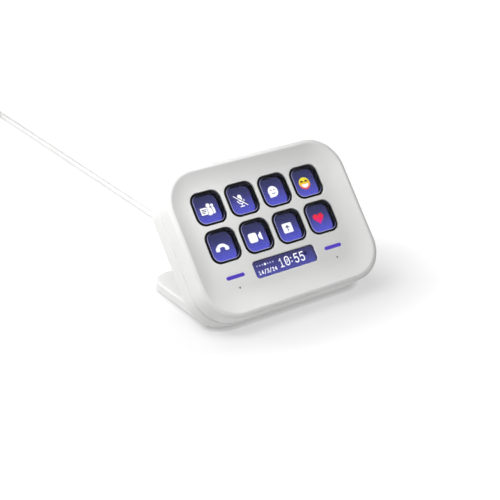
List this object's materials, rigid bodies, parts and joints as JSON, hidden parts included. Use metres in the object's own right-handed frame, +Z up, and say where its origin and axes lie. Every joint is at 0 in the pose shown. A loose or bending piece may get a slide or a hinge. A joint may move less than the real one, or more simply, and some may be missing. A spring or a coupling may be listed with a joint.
{
  "type": "macro keypad",
  "caption": "Desk keypad whose clear keys stand over one lit screen, with an information window, touch strips, a fixed V-shaped stand and a wound data lead.",
  "frame": {"origin": "centre of the foot pad's underside, on the desk", "axes": "+Z up from the desk, +Y from the user towards the back, +X to the right along the face; the face leans back at 50 degrees and looks towards -Y and +Z"},
  "size_m": [0.1139, 0.4128, 0.0712],
  "materials": {
    "shell_plastic": "fine satin, off-white",
    "base_plastic": "satin",
    "pad_rubber": "matt",
    "screw_steel": "zinc plated",
    "bracket_steel": "zinc plated",
    "sheet_film": "printed film",
    "display_glass": "lit screen",
    "flex_film": "amber film",
    "black_plastic": "satin",
    "clear_plastic": "polished, clear",
    "silicone": "matt",
    "light_bar": "lit, translucent",
    "circuit_board": "solder mask",
    "chip_black": "moulded",
    "header_plastic": "moulded",
    "lead_jacket": "satin jacket, off-white",
    "plug_plastic": "satin",
    "plug_steel": "bright drawn"
  },
  "bodies": {
    "housing": {"front_frame": "shell_plastic", "rear_housing": "shell_plastic", "housing_screws": "screw_steel", "stand_foot": "shell_plastic", "stand_bracket": "bracket_steel", "bracket_screws": "screw_steel", "foot_base_plate": "base_plastic", "base_screws": "screw_steel", "foot_pad": "pad_rubber", "key_collar_1": "silicone", "key_collar_2": "silicone", "key_collar_3": "silicone", "key_collar_4": "silicone", "key_collar_5": "silicone", "key_collar_6": "silicone", "key_collar_7": "silicone", "key_collar_8": "silicone", "contact_sheet": "sheet_film", "display_panel": "display_glass", "display_flex": "flex_film", "display_carrier": "black_plastic", "carrier_screws": "screw_steel", "info_lens": "clear_plastic", "info_display": "display_glass", "info_flex": "flex_film", "touch_light_left": "light_bar", "touch_light_right": "light_bar", "touch_board_left": "circuit_board", "touch_board_right": "circuit_board", "main_board": "circuit_board", "board_chips": "chip_black", "board_screws": "screw_steel", "cord_header": "header_plastic", "cord_tail": "lead_jacket", "cord_gland": "lead_jacket", "usb_cord": "lead_jacket", "cord_coil": "lead_jacket", "cord_end": "lead_jacket", "plug_body": "plug_plastic", "plug_shell": "plug_steel"},
    "key_1": {"key_cap_1": "clear_plastic", "key_frame_1": "black_plastic"},
    "key_2": {"key_cap_2": "clear_plastic", "key_frame_2": "black_plastic"},
    "key_3": {"key_cap_3": "clear_plastic", "key_frame_3": "black_plastic"},
    "key_4": {"key_cap_4": "clear_plastic", "key_frame_4": "black_plastic"},
    "key_5": {"key_cap_5": "clear_plastic", "key_frame_5": "black_plastic"},
    "key_6": {"key_cap_6": "clear_plastic", "key_frame_6": "black_plastic"},
    "key_7": {"key_cap_7": "clear_plastic", "key_frame_7": "black_plastic"},
    "key_8": {"key_cap_8": "clear_plastic", "key_frame_8": "black_plastic"}
  },
  "joints": [
    {"name": "key_1_press", "type": "slide", "parent": "housing", "child": "key_1", "axis": [0, 0.766, -0.6428], "range_m": [0, 0.0009], "stiffness_N_per_m": 600, "deforming": ["key_collar_1"]},
    {"name": "key_2_press", "type": "slide", "parent": "housing", "child": "key_2", "axis": [0, 0.766, -0.6428], "range_m": [0, 0.0009], "stiffness_N_per_m": 600, "deforming": ["key_collar_2"]},
    {"name": "key_3_press", "type": "slide", "parent": "housing", "child": "key_3", "axis": [0, 0.766, -0.6428], "range_m": [0, 0.0009], "stiffness_N_per_m": 600, "deforming": ["key_collar_3"]},
    {"name": "key_4_press", "type": "slide", "parent": "housing", "child": "key_4", "axis": [0, 0.766, -0.6428], "range_m": [0, 0.0009], "stiffness_N_per_m": 600, "deforming": ["key_collar_4"]},
    {"name": "key_5_press", "type": "slide", "parent": "housing", "child": "key_5", "axis": [0, 0.766, -0.6428], "range_m": [0, 0.0009], "stiffness_N_per_m": 600, "deforming": ["key_collar_5"]},
    {"name": "key_6_press", "type": "slide", "parent": "housing", "child": "key_6", "axis": [0, 0.766, -0.6428], "range_m": [0, 0.0009], "stiffness_N_per_m": 600, "deforming": ["key_collar_6"]},
    {"name": "key_7_press", "type": "slide", "parent": "housing", "child": "key_7", "axis": [0, 0.766, -0.6428], "range_m": [0, 0.0009], "stiffness_N_per_m": 600, "deforming": ["key_collar_7"]},
    {"name": "key_8_press", "type": "slide", "parent": "housing", "child": "key_8", "axis": [0, 0.766, -0.6428], "range_m": [0, 0.0009], "stiffness_N_per_m": 600, "deforming": ["key_collar_8"]}
  ]
}
